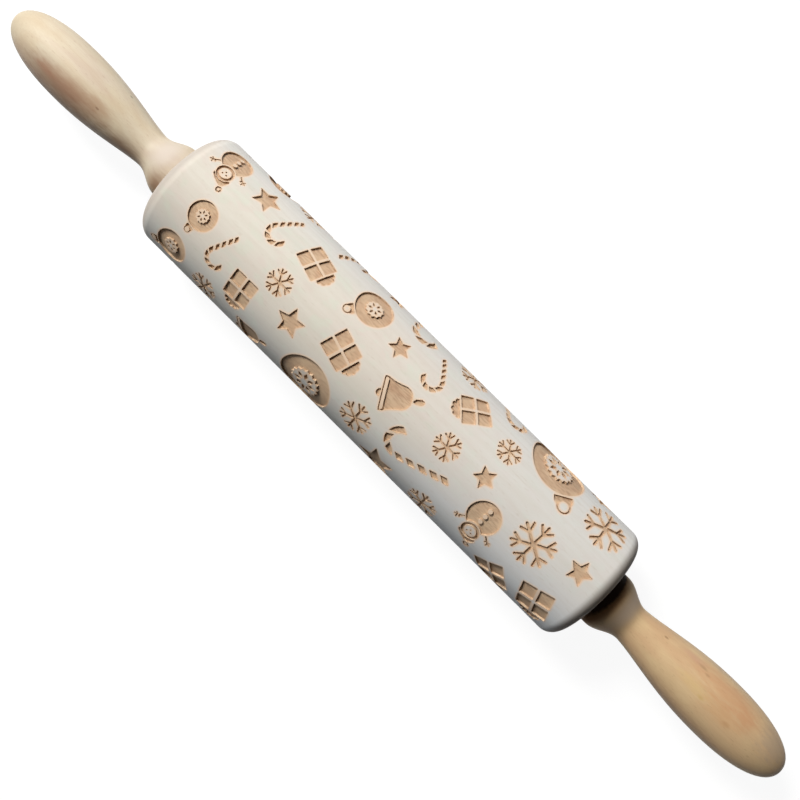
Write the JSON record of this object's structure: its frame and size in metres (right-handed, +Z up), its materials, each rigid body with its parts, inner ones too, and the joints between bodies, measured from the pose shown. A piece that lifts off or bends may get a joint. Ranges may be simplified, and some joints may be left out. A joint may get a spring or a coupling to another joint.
{
  "type": "embossed rolling pin",
  "caption": "Wooden rolling pin with an engraved barrel that spins on a steel axle between two turned handles, for rolling patterned dough.",
  "frame": {"origin": "middle of the pin, on its axis", "axes": "+X along the axle from the left handle to the right one, +Z up away from the worktop, +Y across the pin"},
  "size_m": [0.43, 0.0528, 0.0528],
  "materials": {
    "barrel_wood": "pale beech, sanded and unvarnished, with darker engraved pockets",
    "handle_wood": "turned beech, lightly oiled",
    "nylon": "moulded, off-white",
    "washer_steel": "stainless, bright",
    "axle_steel": "stainless, drawn rod",
    "insert_brass": "turned"
  },
  "bodies": {
    "handles": {"handle_right": "handle_wood", "handle_left": "handle_wood", "axle_rod": "axle_steel", "insert_right": "insert_brass", "insert_left": "insert_brass", "thrust_washer_right": "washer_steel", "thrust_washer_left": "washer_steel"},
    "barrel": {"barrel": "barrel_wood", "bush_right": "nylon", "bush_left": "nylon"}
  },
  "joints": [
    {"name": "barrel_spin", "type": "hinge", "parent": "handles", "child": "barrel", "pos_m": [0, 0, 0], "axis": [1, 0, 0], "continuous": true}
  ]
}
